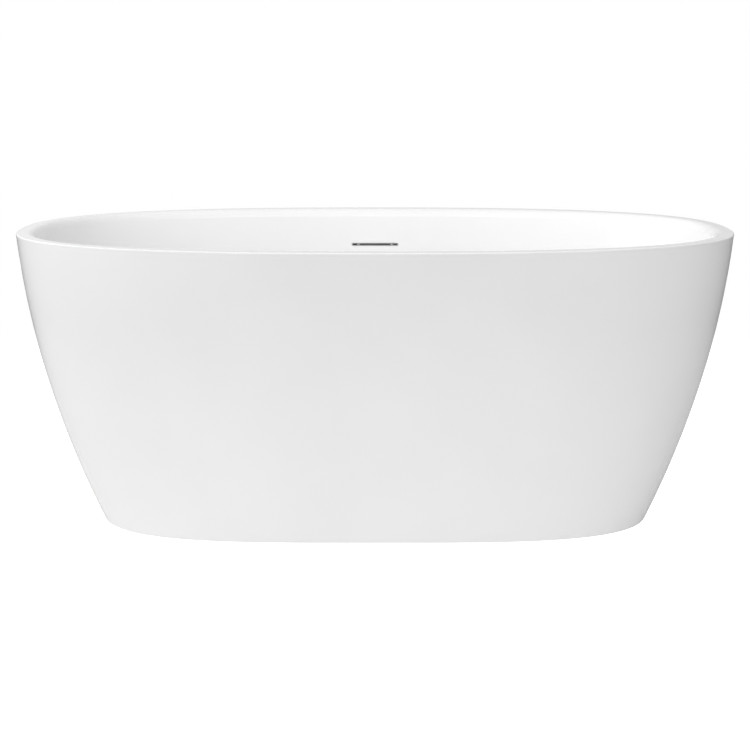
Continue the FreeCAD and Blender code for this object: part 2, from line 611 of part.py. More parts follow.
def foot_rod(x, y):
    """Threaded rod with a hexagon for the spanner near its foot."""
    top = RAIL_UNDERSIDE + FOOT_ROD_ABOVE
    rod = disc(FOOT_ROD_RADIUS, PAD_HEIGHT - PAD_SOCKET_DEPTH, top, x, y)
    rod = rod.makeChamfer(FOOT_ROD_CHAMFER, edges_at(rod, top))
    return rod.fuse(hexagon(SPANNER_HEX_RADIUS, PAD_HEIGHT, PAD_HEIGHT + SPANNER_HEX_HEIGHT, x, y))


def foot_pad(x, y):
    """Round foot with a socket for the rod."""
    pad = disc(PAD_RADIUS, 0, PAD_EDGE, x, y)
    pad = pad.makeFillet(PAD_ROUNDING, edges_at(pad, 0) + edges_at(pad, PAD_EDGE))
    cone = Part.makeCone(PAD_RADIUS - PAD_SHOULDER, PAD_NECK_RADIUS, PAD_HEIGHT - PAD_EDGE, Vector(x, y, PAD_EDGE))
    pad = pad.fuse(cone)
    socket = disc(FOOT_ROD_RADIUS + THREAD_CLEARANCE, PAD_HEIGHT - PAD_SOCKET_DEPTH, PAD_HEIGHT + OVERSHOOT, x, y)
    return pad.cut(socket)


# ---------------------------------------------------------------- waste fitting
def drain_strainer():
    """Flanged strainer with a threaded neck and a cross that carries the plug's cartridge."""
    lip = disc(STRAINER_RADIUS, STRAINER_UNDERSIDE, STRAINER_TOP)
    lip = lip.makeFillet(STRAINER_EDGE_ROUNDING, edges_at(lip, STRAINER_TOP))
    body = lip.fuse(disc(STRAINER_NECK_RADIUS, NECK_END, STRAINER_UNDERSIDE + STRAINER_LIP / 2))
    mouth = Part.makeCone(STRAINER_NECK_BORE, STRAINER_MOUTH_RADIUS, STRAINER_MOUTH_DEPTH,
                          Vector(0, 0, STRAINER_TOP - STRAINER_MOUTH_DEPTH))
    body = body.cut([mouth, disc(STRAINER_NECK_BORE, NECK_END - OVERSHOOT, STRAINER_TOP)])
    low = SPIDER_TOP - SPIDER_HEIGHT
    arms = []
    for k in range(SPIDER_ARMS):
        arm = block(0, STRAINER_NECK_RADIUS - OVERSHOOT, -SPIDER_ARM_WIDTH / 2, SPIDER_ARM_WIDTH / 2, low, SPIDER_TOP)
        arm.rotate(Vector(0, 0, 0), Vector(0, 0, 1), 45 + 360 * k / SPIDER_ARMS)
        arms.append(arm)
    body = body.fuse(arms + [disc(SPIDER_HUB_RADIUS, low, SPIDER_TOP)])
    return body.cut(disc(CARTRIDGE_LOWER_RADIUS + THREAD_CLEARANCE, low - OVERSHOOT, SPIDER_TOP + OVERSHOOT))


def drain_top_gasket():
    return ring(STRAINER_RADIUS - GASKET_SET_BACK, FLOOR_HOLE_RADIUS + GASKET_SET_BACK,
                SEAT_LEVEL, STRAINER_UNDERSIDE)


def drain_under_gasket():
    return ring(WASTE_FLANGE_RADIUS - GASKET_SET_BACK, FLOOR_HOLE_RADIUS + GASKET_SET_BACK,
                WASTE_TOP, BOSS_UNDERSIDE)


def inlet_rod(radius, length):
    """Bar from the waste's axis towards the overflow hose."""
    return Part.makeCylinder(radius, length, Vector(0, 0, INLET_HEIGHT), Vector(0, 1, 0))


def waste_body():
    """Waste cup under the floor, with an inlet for the overflow and a spout for the tailpiece."""
    body = disc(WASTE_FLANGE_RADIUS, WASTE_TOP - WASTE_FLANGE_WALL, WASTE_TOP)
    body = body.fuse([disc(WASTE_RADIUS, CHAMBER_FLOOR - WASTE_FLOOR_WALL, WASTE_TOP),
                      disc(WASTE_SPOUT_RADIUS, SPOUT_END, CHAMBER_FLOOR),
                      inlet_rod(SPIGOT_RADIUS, INLET_LENGTH)])
    body = body.removeSplitter()
    return body.cut([
        disc(STRAINER_NECK_RADIUS + SLIDE_CLEARANCE, WASTE_TOP - WASTE_THREAD_DEPTH, WASTE_TOP + OVERSHOOT),
        disc(WASTE_CHAMBER_RADIUS, CHAMBER_FLOOR, WASTE_TOP),
        disc(TAILPIECE_BORE, TAILPIECE_TOP - OVERSHOOT, CHAMBER_FLOOR + OVERSHOOT),
        disc(SWAGE_RADIUS + STATIC_CLEARANCE, SPOUT_END - OVERSHOOT, TAILPIECE_TOP),
        inlet_rod(SPIGOT_BORE, INLET_LENGTH + OVERSHOOT)])


def slip_washer():
    low = SPOUT_END - SLIP_WASHER_HEIGHT
    return ring(WASTE_SPOUT_RADIUS - GASKET_SET_BACK, SWAGE_RADIUS + THREAD_CLEARANCE, low, SPOUT_END)


def outlet_nut():
    """Hand nut that squeezes the slip washer on the tailpiece."""
    nut = hexagon(OUTLET_NUT_RADIUS / math.cos(math.pi / 6), OUTLET_NUT_LOW, OUTLET_NUT_TOP)
    nut = nut.common(disc(OUTLET_NUT_RADIUS + OUTLET_NUT_BEVEL, OUTLET_NUT_LOW, OUTLET_NUT_TOP))
    over = OUTLET_NUT_TOP + OVERSHOOT
    return nut.cut([disc(SWAGE_RADIUS + STATIC_CLEARANCE, OUTLET_NUT_LOW - OVERSHOOT, over),
                    disc(WASTE_SPOUT_RADIUS + SLIDE_CLEARANCE, OUTLET_NUT_LOW + OUTLET_NUT_LIP, over)])


def tailpiece():
    """Tube with its upper end expanded; a trap grips its plain lower end."""
    taper_low = OUTLET_NUT_LOW - SWAGE_TAPER
    taper = Part.makeCone(TAILPIECE_RADIUS, SWAGE_RADIUS, SWAGE_TAPER, Vector(0, 0, taper_low))
    tube = taper.fuse([disc(TAILPIECE_RADIUS, TAILPIECE_END, taper_low),
                       disc(SWAGE_RADIUS, OUTLET_NUT_LOW, TAILPIECE_TOP)])
    return tube.cut(disc(TAILPIECE_BORE, TAILPIECE_END - OVERSHOOT, TAILPIECE_TOP + OVERSHOOT))


# ---------------------------------------------------------------- push plug
def plug_cap():
    """Domed cap with a boss that the stem screws into."""
    edge_top = CAP_UNDERSIDE + CAP_EDGE
    sphere_radius = (CAP_RADIUS ** 2 + CAP_CROWN ** 2) / (2 * CAP_CROWN)
    dome = Part.makeSphere(sphere_radius, Vector(0, 0, edge_top + CAP_CROWN - sphere_radius))
    cap = disc(CAP_RADIUS, CAP_UNDERSIDE, edge_top + 2 * CAP_CROWN).common(dome)
    boss_end = CAP_UNDERSIDE - PLUG_BOSS_LENGTH
    cap = cap.fuse(disc(PLUG_BOSS_RADIUS, boss_end, CAP_UNDERSIDE + CAP_EDGE / 2))
    return cap.cut(disc(PLUG_STEM_RADIUS + THREAD_CLEARANCE, boss_end - OVERSHOOT, CAP_UNDERSIDE))


def plug_seal():
    """Soft ring under the cap that closes the strainer's mouth."""
    slope = (STRAINER_MOUTH_RADIUS - STRAINER_NECK_BORE) / STRAINER_MOUTH_DEPTH
    top_radius = STRAINER_MOUTH_RADIUS - SEAL_GAP
    low = CAP_UNDERSIDE - SEAL_HEIGHT
    seal = Part.makeCone(top_radius - slope * SEAL_HEIGHT, top_radius, SEAL_HEIGHT, Vector(0, 0, low))
    return seal.cut(disc(SEAL_INNER_RADIUS, low - OVERSHOOT, CAP_UNDERSIDE + OVERSHOOT))


def plug_stem():
    return disc(PLUG_STEM_RADIUS, STEM_END, CAP_UNDERSIDE)


def plug_cartridge():
    """Push latch that is screwed into the strainer's cross and guides the stem."""
    body = disc(CARTRIDGE_RADIUS, SPIDER_TOP, CARTRIDGE_TOP)
    body = body.makeFillet(CARTRIDGE_ROUNDING, edges_at(body, CARTRIDGE_TOP))
    body = body.fuse(disc(CARTRIDGE_LOWER_RADIUS, CARTRIDGE_END, SPIDER_TOP))
    bore_end = CARTRIDGE_END + CARTRIDGE_END_WALL
    return body.cut(disc(PLUG_STEM_RADIUS + SLIDE_CLEARANCE, bore_end, CARTRIDGE_TOP + OVERSHOOT))


# ---------------------------------------------------------------- overflow
def overflow_trim():
    """Metal slot liner: a thin lip, a sleeve through the wall and two posts for the fixing screws."""
    lip = pill(SLOT_LIP_LENGTH, SLOT_LIP_WIDTH, SLOT_LIP_POCKET - SLOT_LIP_WALL, SLOT_LIP_POCKET)
    sleeve = pill(SLOT_SLEEVE_LENGTH, SLOT_SLEEVE_WIDTH, SLOT_LIP_POCKET - SLOT_LIP_WALL / 2, SLOT_SLEEVE_DEPTH)
    opening = pill(SLOT_SLEEVE_LENGTH - 2 * SLOT_SLEEVE_WALL, SLOT_SLEEVE_WIDTH - 2 * SLOT_SLEEVE_WALL,
                   -2 * OVERSHOOT, SLOT_SLEEVE_DEPTH + OVERSHOOT)
    inside = pill(SLOT_SLEEVE_LENGTH, SLOT_SLEEVE_WIDTH, POST_START, SLOT_SLEEVE_DEPTH)
    posts = []
    for x in post_places():
        posts.append(rod_along_y(POST_RADIUS, POST_START, SLOT_SLEEVE_DEPTH, x).common(inside))
        posts.append(rod_along_y(POST_RADIUS, SLOT_SLEEVE_DEPTH, BOX_BACK - OVERFLOW_BOX_WALL, x))
    taps = [rod_along_y(M3_RADIUS + THREAD_CLEARANCE, BOX_BACK - M3_LENGTH - SCREW_POINT_CLEARANCE, BOX_BACK, x)
            for x in post_places()]
    return placed(lip.fuse(sleeve).cut(opening).fuse(posts).cut(taps).removeSplitter())


def post_places():
    return (-POST_SPREAD / 2, POST_SPREAD / 2)


def inset_pill(inset, near, far):
    """The box's outline, set in on all sides, from near to far."""
    return pill(OVERFLOW_BOX_LENGTH - 2 * inset, OVERFLOW_BOX_WIDTH - 2 * inset, near, far,
                OVERFLOW_BOX_CORNER - inset)


def overflow_gasket():
    """Flat seal between the pad and the box's edge."""
    inner = inset_pill(OVERFLOW_GASKET_WIDTH, OVERFLOW_PAD_BACK - OVERSHOOT, BOX_FACE + OVERSHOOT)
    return placed(inset_pill(0, OVERFLOW_PAD_BACK, BOX_FACE).cut(inner))


def overflow_box():
    """Collecting box behind the slot, with a spigot for the hose."""
    box = inset_pill(0, BOX_FACE, BOX_BACK)
    inside_back = BOX_BACK - OVERFLOW_BOX_WALL
    hollow = inset_pill(OVERFLOW_BOX_WALL, BOX_FACE - OVERSHOOT, inside_back)
    inside_low = -OVERFLOW_BOX_WIDTH / 2 + OVERFLOW_BOX_WALL
    end = -OVERFLOW_BOX_WIDTH / 2 - OVERFLOW_SPIGOT_LENGTH
    spigot = disc(SPIGOT_RADIUS, end, inside_low - OVERSHOOT, 0, BOX_MIDDLE)
    bore = disc(SPIGOT_BORE, end - OVERSHOOT, inside_low + OVERSHOOT, 0, BOX_MIDDLE)
    screw_holes = [rod_along_y(M3_RADIUS + HOLE_CLEARANCE, inside_back - OVERSHOOT, BOX_BACK + OVERSHOOT, x)
                   for x in post_places()]
    return placed(box.fuse(spigot).cut([hollow, bore] + screw_holes))


def overflow_screws():
    made = []
    for x in post_places():
        head = rod_along_y(M3_HEAD_RADIUS, BOX_BACK, BOX_BACK + M3_HEAD_HEIGHT, x)
        shank = rod_along_y(M3_RADIUS, BOX_BACK - M3_LENGTH, BOX_BACK + M3_HEAD_HEIGHT / 2, x)
        made.append(placed(head.fuse(shank)))
    return made


def hose_route():
    """Points of the hose's centre line: out of the box, down between the shells, in to the waste."""
    start = OVERFLOW_PLACE.multVec(Vector(0, BOX_MIDDLE, -OVERFLOW_BOX_WIDTH / 2 - HOSE_GAP))
    heading = OVERFLOW_PLACE.Rotation.multVec(Vector(0, 0, -1))
    route = [start, start + heading * HOSE_FIRST_RUN]
    for run, turn in ((HOSE_SECOND_RUN, HOSE_FIRST_TURN), (HOSE_THIRD_RUN, HOSE_SECOND_TURN)):
        heading = Rotation(Vector(1, 0, 0), -turn).multVec(heading)
        route.append(route[-1] + heading * run)
    route.append(Vector(0, route[-1].y - HOSE_SLANT, INLET_HEIGHT + HOSE_FALL))
    end = WASTE_RADIUS + HOSE_GAP
    route.append(Vector(0, end + HOSE_LAST_RUN, INLET_HEIGHT))
    route.append(Vector(0, end, INLET_HEIGHT))
    return route


def rounded_path(points):
    """Straight runs joined by tangent arcs, each as large as its two runs allow."""
    edges = []
    last = points[0]
    for before, corner, after in zip(points, points[1:], points[2:]):
        back = before - corner
        ahead = after - corner
        cut = HOSE_ARC_SHARE * min(back.Length, ahead.Length)
        back.normalize()
        ahead.normalize()
        half_turn = (math.pi - back.getAngle(ahead)) / 2
        radius = cut / math.tan(half_turn)
        print("hose bend of radius", round(radius, 1))
        inward = (back + ahead).normalize()
        enter = corner + back * cut
        leave = corner + ahead * cut
        edges.append(Part.LineSegment(last, enter).toShape())
        middle = corner + inward * (radius / math.cos(half_turn) - radius)
        edges.append(Part.Arc(enter, middle, leave).toShape())
        last = leave
    edges.append(Part.LineSegment(last, points[-1]).toShape())
    return Part.Wire(edges)


def swept(path, start, heading, radius):
    """Round bar along the path."""
    section = Part.Wire([Part.Circle(start, heading, radius).toShape()])
    return path.makePipeShell([section], True, False)


def overflow_hose():
    """Hose from the box to the waste, pushed over both spigots."""
    route = hose_route()
    path = rounded_path(route)
    heading = route[1] - route[0]
    hose = swept(path, route[0], heading, HOSE_RADIUS).cut(swept(path, route[0], heading, HOSE_BORE))
    print("hose volume over section times length",
          hose.Volume / (math.pi * (HOSE_RADIUS ** 2 - HOSE_BORE ** 2) * path.Length))
    return hose


def hose_clamp(end, heading):
    """Worm-drive band round the hose; end is the hose's end and heading points along the hose."""
    band = ring(HOSE_RADIUS + CLAMP_FIT + CLAMP_WALL, HOSE_RADIUS + CLAMP_FIT,
                CLAMP_SET_BACK, CLAMP_SET_BACK + CLAMP_WIDTH)
    out = HOSE_RADIUS + CLAMP_FIT
    top = out + CLAMP_WALL + CLAMP_HOUSING_HEIGHT
    housing = block(out + CLAMP_WALL / 2, top, -CLAMP_HOUSING_LENGTH / 2, CLAMP_HOUSING_LENGTH / 2,
                    CLAMP_SET_BACK, CLAMP_SET_BACK + CLAMP_WIDTH)
    housing = housing.makeFillet(CLAMP_HOUSING_ROUNDING,
                                 [e for e in housing.Edges if e.BoundBox.XMin > top - CLAMP_WALL])
    head = Part.makeCylinder(CLAMP_SCREW_RADIUS, CLAMP_SCREW_HEAD,
                             Vector(out + CLAMP_WALL + CLAMP_HOUSING_HEIGHT / 2, CLAMP_HOUSING_LENGTH / 2,
                                    CLAMP_SET_BACK + CLAMP_WIDTH / 2), Vector(0, 1, 0))
    made = band.fuse([housing, head])
    made.Placement = Placement(end, Rotation(Vector(0, 0, 1), heading))
    return made


# ---------------------------------------------------------------- everything
def pieces():
    """Every node's name and its solid or solids."""
    route = hose_route()
    yield "basin_shell", basin_shell()
    yield "outer_shell", outer_shell()
    yield "rim_adhesive", rim_adhesive()
    yield "base_board", base_board()
    yield "frame_rail_front", frame_rail(-1)
    yield "frame_rail_back", frame_rail(1)
    yield "frame_cross_left", frame_cross(-1)
    yield "frame_cross_right", frame_cross(1)
    yield "tube_end_caps", tube_end_caps()
    yield "board_screws", board_screws()
    yield "frame_bolts", frame_bolts()
    yield "frame_nuts", frame_nuts()
    yield "bracket_screws", bracket_screws()
    yield "foot_weld_nuts", nuts_round_rods(CROSS_UNDERSIDE - FOOT_NUT_HEIGHT, FOOT_NUT_HEIGHT)
    yield "foot_lock_nuts", nuts_round_rods(CROSS_UNDERSIDE - FOOT_NUT_HEIGHT - LOCK_NUT_HEIGHT, LOCK_NUT_HEIGHT)
    for x, y in FEET:
        corner = ("front_" if y < 0 else "back_") + ("left" if x < 0 else "right")
        yield "foot_rod_" + corner, foot_rod(x, y)
        yield "foot_pad_" + corner, foot_pad(x, y)
        yield "skirt_bracket_" + corner, skirt_bracket(x, y)
    yield "drain_strainer", drain_strainer()
    yield "drain_top_gasket", drain_top_gasket()
    yield "drain_under_gasket", drain_under_gasket()
    yield "waste_body", waste_body()
    yield "slip_washer", slip_washer()
    yield "outlet_nut", outlet_nut()
    yield "tailpiece", tailpiece()
    yield "plug_cap", plug_cap()
    yield "plug_seal", plug_seal()
    yield "plug_stem", plug_stem()
    yield "plug_cartridge", plug_cartridge()
    yield "overflow_trim", overflow_trim()
    yield "overflow_gasket", overflow_gasket()
    yield "overflow_box", overflow_box()
    yield "overflow_screws", overflow_screws()
    yield "overflow_hose", overflow_hose()
    yield "hose_clamp_upper", hose_clamp(route[0], route[1] - route[0])
    yield "hose_clamp_lower", hose_clamp(route[-1], route[-2] - route[-1])


def main():
    os.makedirs("parts", exist_ok=True)
    for name, made in pieces():
        shape = Part.Compound(made) if isinstance(made, list) else made
        solids = shape.Solids
        if not solids or not shape.isValid():
            raise ValueError(name + " isn't a valid solid")
        if not isinstance(made, list) and len(solids) != 1:
            raise ValueError(name + " fell into %d solids" % len(solids))
        out = solids[0] if len(solids) == 1 else Part.Compound(solids)
        out.exportStep("parts/" + name + ".step")
        box = out.BoundBox
        print("%-28s %2d solids %12.1f mm3  z %7.2f to %7.2f" % (name, len(solids), out.Volume, box.ZMin, box.ZMax))


main()
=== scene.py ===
"""Freestanding double-wall acrylic bathtub, finished piece by piece on its CAD frame.

Metres throughout, in the CAD's own frame: the origin is on the floor under the middle of the tub,
+X runs along its length, -Y is its front and +Z is up.
"""

import math

import bpy
import numpy as np
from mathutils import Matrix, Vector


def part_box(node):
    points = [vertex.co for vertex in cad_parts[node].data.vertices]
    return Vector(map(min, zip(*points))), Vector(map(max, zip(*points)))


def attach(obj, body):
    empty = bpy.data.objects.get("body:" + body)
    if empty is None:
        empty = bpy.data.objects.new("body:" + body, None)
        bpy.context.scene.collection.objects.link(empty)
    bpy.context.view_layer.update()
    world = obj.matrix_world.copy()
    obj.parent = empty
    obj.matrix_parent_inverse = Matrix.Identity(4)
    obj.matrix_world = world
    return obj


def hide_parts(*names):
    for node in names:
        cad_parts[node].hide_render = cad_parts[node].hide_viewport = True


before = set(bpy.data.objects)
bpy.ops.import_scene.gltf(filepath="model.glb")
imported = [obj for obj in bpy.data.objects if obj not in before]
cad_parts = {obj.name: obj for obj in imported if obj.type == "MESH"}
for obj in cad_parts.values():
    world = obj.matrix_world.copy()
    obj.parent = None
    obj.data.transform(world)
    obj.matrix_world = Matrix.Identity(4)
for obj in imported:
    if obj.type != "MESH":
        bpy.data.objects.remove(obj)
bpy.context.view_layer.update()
MM = 0.001


# ================================================================ base board
# A 15 mm birch plywood board stiffens the acrylic floor. It is cut from eleven cross-laid veneers,
# sealed with a thin varnish, and bonded under the basin before the frame is screwed to it.
def linear(code):
    """An sRGB hex colour as linear red, green and blue, with full alpha."""
    channels = np.array([int(code[k:k + 2], 16) for k in (1, 3, 5)]) / 255
    curved = np.where(channels <= 0.04045, channels / 12.92, ((channels + 0.055) / 1.055) ** 2.4)
    return (*curved.tolist(), 1.0)


def add(tree, kind, settings=None, feeds=None):
    """Adds a node. Settings and feeds are keyed by a property's name, or by a socket's name or number."""
    node = tree.nodes.new("ShaderNode" + kind)
    for key, value in (settings or {}).items():
        if isinstance(key, int) or key in node.inputs:
            node.inputs[key].default_value = value
        else:
            setattr(node, key, value)
    for key, source in (feeds or {}).items():
        tree.links.new(source, node.inputs[key])
    return node


def surface(name, settings):
    """A material with its shader; gives the material, its tree, the shader and the piece's coordinates."""
    material = bpy.data.materials.new(name)
    material.use_nodes = True
    tree = material.node_tree
    tree.nodes.clear()
    shader = add(tree, "BsdfPrincipled", settings)
    add(tree, "OutputMaterial", {}, {"Surface": shader.outputs["BSDF"]})
    return material, tree, shader, add(tree, "TexCoord").outputs["Object"]


def speckle(tree, place, size, detail=2.0, stretch=(1, 1, 1)):
    """Noise from 0 to 1 whose blotches are about this size, in metres, times stretch on each axis."""
    cells = add(tree, "Mapping", {"Scale": [1 / (size * s) for s in stretch]}, {"Vector": place})
    noise = add(tree, "TexNoise", {"Scale": 1.0, "Detail": detail, "Roughness": 0.5},
                {"Vector": cells.outputs["Vector"]})
    return noise.outputs[0]


def between(tree, factor, low, high, start=0.3, end=0.7):
    """A number that goes from low to high as the factor goes from start to end."""
    return add(tree, "MapRange", {"From Min": start, "From Max": end, "To Min": low, "To Max": high},
               {"Value": factor}).outputs["Result"]


def blend_colours(tree, factor, first, second):
    """A colour that goes from first to second with the factor."""
    return add(tree, "Mix", {"data_type": "RGBA", 6: linear(first), 7: linear(second)},
               {0: factor}).outputs[2]


def relief(tree, shader, height, depth, strength=1.0):
    """The height, from 0 to 1, as bumps this deep in metres."""
    bump = add(tree, "Bump", {"Distance": depth, "Strength": strength}, {"Height": height})
    tree.links.new(bump.outputs["Normal"], shader.inputs["Normal"])


def dress(material, *nodes):
    """The CAD nodes take this material."""
    for name in nodes:
        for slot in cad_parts[name].material_slots:
            slot.material = material


def birch_plywood():
    """Varnished birch: long pale streaks on the faces, and light and dark veneers on the cut edge."""
    material, tree, shader, place = surface("birch_plywood_varnished", {"IOR": 1.52, "Coat Weight": 0.25,
                                                                       "Coat Roughness": 0.2})
    board_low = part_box("base_board")[0].z
    veneer = 15 * MM / 11
    streaks = speckle(tree, place, 4 * MM, 6.0, (40, 1, 1))
    figure = speckle(tree, place, 60 * MM, 2.0, (4, 1, 1))
    grain = add(tree, "Math", {"operation": "ADD"}, {0: streaks, 1: figure}).outputs[0]
    face = blend_colours(tree, between(tree, grain, 0.0, 1.0, 0.8, 1.25), "#D9BE93", "#BF9C6A")
    height = add(tree, "SeparateXYZ", {}, {0: place}).outputs["Z"]
    layer = add(tree, "MapRange", {"From Min": board_low - 0.02 * MM, "From Max": board_low + 2 * veneer,
                                   "To Min": 0.0, "To Max": 1.0, "clamp": False}, {"Value": height}).outputs[0]
    phase = add(tree, "Math", {"operation": "FRACT"}, {0: layer}).outputs[0]
    end_grain = add(tree, "Math", {"operation": "GREATER_THAN", 1: 0.5}, {0: phase}).outputs[0]
    cut = add(tree, "Mix", {"data_type": "RGBA", 7: linear("#8A6239")}, {0: end_grain, 6: face}).outputs[2]
    tree.links.new(cut, shader.inputs["Base Color"])
    tree.links.new(between(tree, streaks, 0.38, 0.55), shader.inputs["Roughness"])
    relief(tree, shader, streaks, 0.08 * MM)
    return material


dress(birch_plywood(), "base_board")


# ================================================================ steel frame
# Two rails and two cross tubes of 25 mm square steel, hot-dip galvanised after cutting. The rails are
# screwed up into the board, M8 bolts hold the cross tubes, and moulded caps close the open tube ends.
def galvanised_steel():
    """Hot-dip zinc: flat grey crystals about 9 mm across, each reflecting a little differently."""
    material, tree, shader, place = surface("galvanised_steel_dull", {"Metallic": 1.0})
    crystals = add(tree, "TexVoronoi", {"Scale": 1 / (9 * MM), "Randomness": 1.0}, {"Vector": place})
    tone = add(tree, "SeparateColor", {}, {0: crystals.outputs["Color"]}).outputs[0]
    cloud = speckle(tree, place, 45 * MM, 3.0)
    mixed = add(tree, "Math", {"operation": "MULTIPLY_ADD", 1: 0.35}, {0: tone, 2: cloud}).outputs[0]
    tree.links.new(blend_colours(tree, between(tree, mixed, 0.0, 1.0, 0.4, 0.95), "#8E9398", "#BCC1C4"),
                   shader.inputs["Base Color"])
    tree.links.new(between(tree, tone, 0.34, 0.52, 0.0, 1.0), shader.inputs["Roughness"])
    relief(tree, shader, crystals.outputs["Distance"], 0.03 * MM, 0.4)
    return material


def bright_zinc():
    """Electroplated zinc: bright and slightly blue, with a faint cloudy haze from the passivation."""
    material, tree, shader, place = surface("zinc_plating_bright", {"Metallic": 1.0})
    haze = speckle(tree, place, 5 * MM, 4.0)
    tree.links.new(blend_colours(tree, between(tree, haze, 0.0, 1.0), "#B9C0C9", "#D3D6D6"),
                   shader.inputs["Base Color"])
    tree.links.new(between(tree, haze, 0.2, 0.34), shader.inputs["Roughness"])
    relief(tree, shader, speckle(tree, place, 0.6 * MM), 0.01 * MM)
    return material


def black_plastic():
    """Moulded polyamide: a fine spark-eroded texture, drawn at 0.7 mm so that it shows."""
    material, tree, shader, place = surface("black_polyamide_textured", {"IOR": 1.53})
    tooling = speckle(tree, place, 0.7 * MM, 3.0)
    tree.links.new(blend_colours(tree, between(tree, tooling, 0.0, 1.0), "#141415", "#1E1E20"),
                   shader.inputs["Base Color"])
    tree.links.new(between(tree, tooling, 0.42, 0.58), shader.inputs["Roughness"])
    relief(tree, shader, tooling, 0.05 * MM)
    return material


galvanised = galvanised_steel()
zinc = bright_zinc()
black_moulding = black_plastic()
dress(galvanised, "frame_rail_front", "frame_rail_back", "frame_cross_left", "frame_cross_right")
dress(zinc, "board_screws", "frame_bolts", "frame_nuts")
dress(black_moulding, "tube_end_caps")


# ================================================================ levelling feet
# Four M12 threaded rods run through nuts welded to the cross tubes, with a thin lock nut below. Each
# stands in a round moulded foot and has a hexagon for a spanner, so that the tub can be levelled.
def skin(name, grids, ring=False, crease=35):
    """One object from grids of points, rows by columns. Columns run round each grid, counter-clockwise
    about the direction its rows go. Rows close on themselves, or end in a fan at each end."""
    points, faces, start = [], [], 0
    for grid in grids:
        rows, columns = grid.shape[:2]
        row = np.arange(rows if ring else rows - 1)[:, None]
        column = np.arange(columns)[None, :]
        following = (column + 1) % columns
        upper = (row + 1) % rows
        corners = [row * columns + column, row * columns + following,
                   upper * columns + following, upper * columns + column]
        faces += (np.stack(corners, -1).reshape(-1, 4) + start).tolist()
        points.append(grid.reshape(-1, 3))
        start += rows * columns
        if not ring:
            points.append(np.stack([grid[0].mean(0), grid[-1].mean(0)]))
            low = column[0] + start - rows * columns
            high = low + (rows - 1) * columns
            faces += np.stack([np.full(columns, start), np.roll(low, -1), low], -1).tolist()
            faces += np.stack([np.full(columns, start + 1), high, np.roll(high, -1)], -1).tolist()
            start += 2
    mesh = bpy.data.meshes.new(name)
    mesh.from_pydata(np.concatenate(points).tolist(), [], faces)
    mesh.shade_smooth()
    mesh.set_sharp_from_angle(angle=math.radians(crease))
    piece = bpy.data.objects.new(name, mesh)
    bpy.context.scene.collection.objects.link(piece)
    return piece


def thread(x, y, low, high, radius, pitch, depth, chamfer):
    """A threaded rod: the radius dips by depth once per pitch, and the dip climbs one pitch per turn.
    The dip is flat over its middle and straight on its flanks, and each end is cut to a cone."""
    rows_per_pitch, columns = 6, 24
    heights = np.linspace(low, high, int((high - low) / pitch * rows_per_pitch) + 1)[:, None]
    turn = np.linspace(0, 2 * math.pi, columns, endpoint=False)[None, :]
    phase = (heights / pitch - turn / (2 * math.pi)) % 1.0
    dip = np.clip(1.6 - np.abs(phase - 0.5) * 5.0, 0.0, 1.0)
    end = np.minimum(heights - low, high - heights)
    reach = np.minimum(radius - depth * dip, radius - chamfer + end)
    return np.stack([x + reach * np.cos(turn), y + reach * np.sin(turn), heights + 0 * turn], -1)


def hexagon(x, y, low, high, corner, bevel):
    """A hexagonal bar with a corner towards +X. Its reach is the lesser of the hexagon and a cone that
    widens by 1.7 for each unit in from either end, as on a turned nut."""
    turn = np.linspace(0, 2 * math.pi, 48, endpoint=False)[None, :]
    half_flats = corner * math.cos(math.pi / 6)
    flat = half_flats / np.cos(turn % (math.pi / 3) - math.pi / 6)
    heights = np.array([low, low + bevel * 0.55, low + bevel, high - bevel, high - bevel * 0.55, high])[:, None]
    cone = half_flats + np.minimum(heights - low, high - heights) * 1.7
    reach = np.minimum(flat, cone)
    return np.stack([x + reach * np.cos(turn), y + reach * np.sin(turn), heights + 0 * turn], -1)


CORNERS = ("front_left", "back_left", "front_right", "back_right")
hex_height = 8 * MM
for corner in CORNERS:
    rod_low, rod_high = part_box("foot_rod_" + corner)
    pad_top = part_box("foot_pad_" + corner)[1].z
    x, y = (rod_low.x + rod_high.x) / 2, (rod_low.y + rod_high.y) / 2
    hex_corner = (rod_high.x - rod_low.x) / 2
    rod = skin("threaded_rod_" + corner, [
        thread(x, y, rod_low.z, rod_high.z, radius=6 * MM, pitch=1.75 * MM, depth=0.9 * MM, chamfer=1 * MM),
        hexagon(x, y, pad_top, pad_top + hex_height, hex_corner, bevel=1 * MM)])
    rod.data.materials.append(zinc)
    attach(rod, "foot_" + corner)
    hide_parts("foot_rod_" + corner)
    dress(black_moulding, "foot_pad_" + corner)
dress(zinc, "foot_weld_nuts", "foot_lock_nuts")


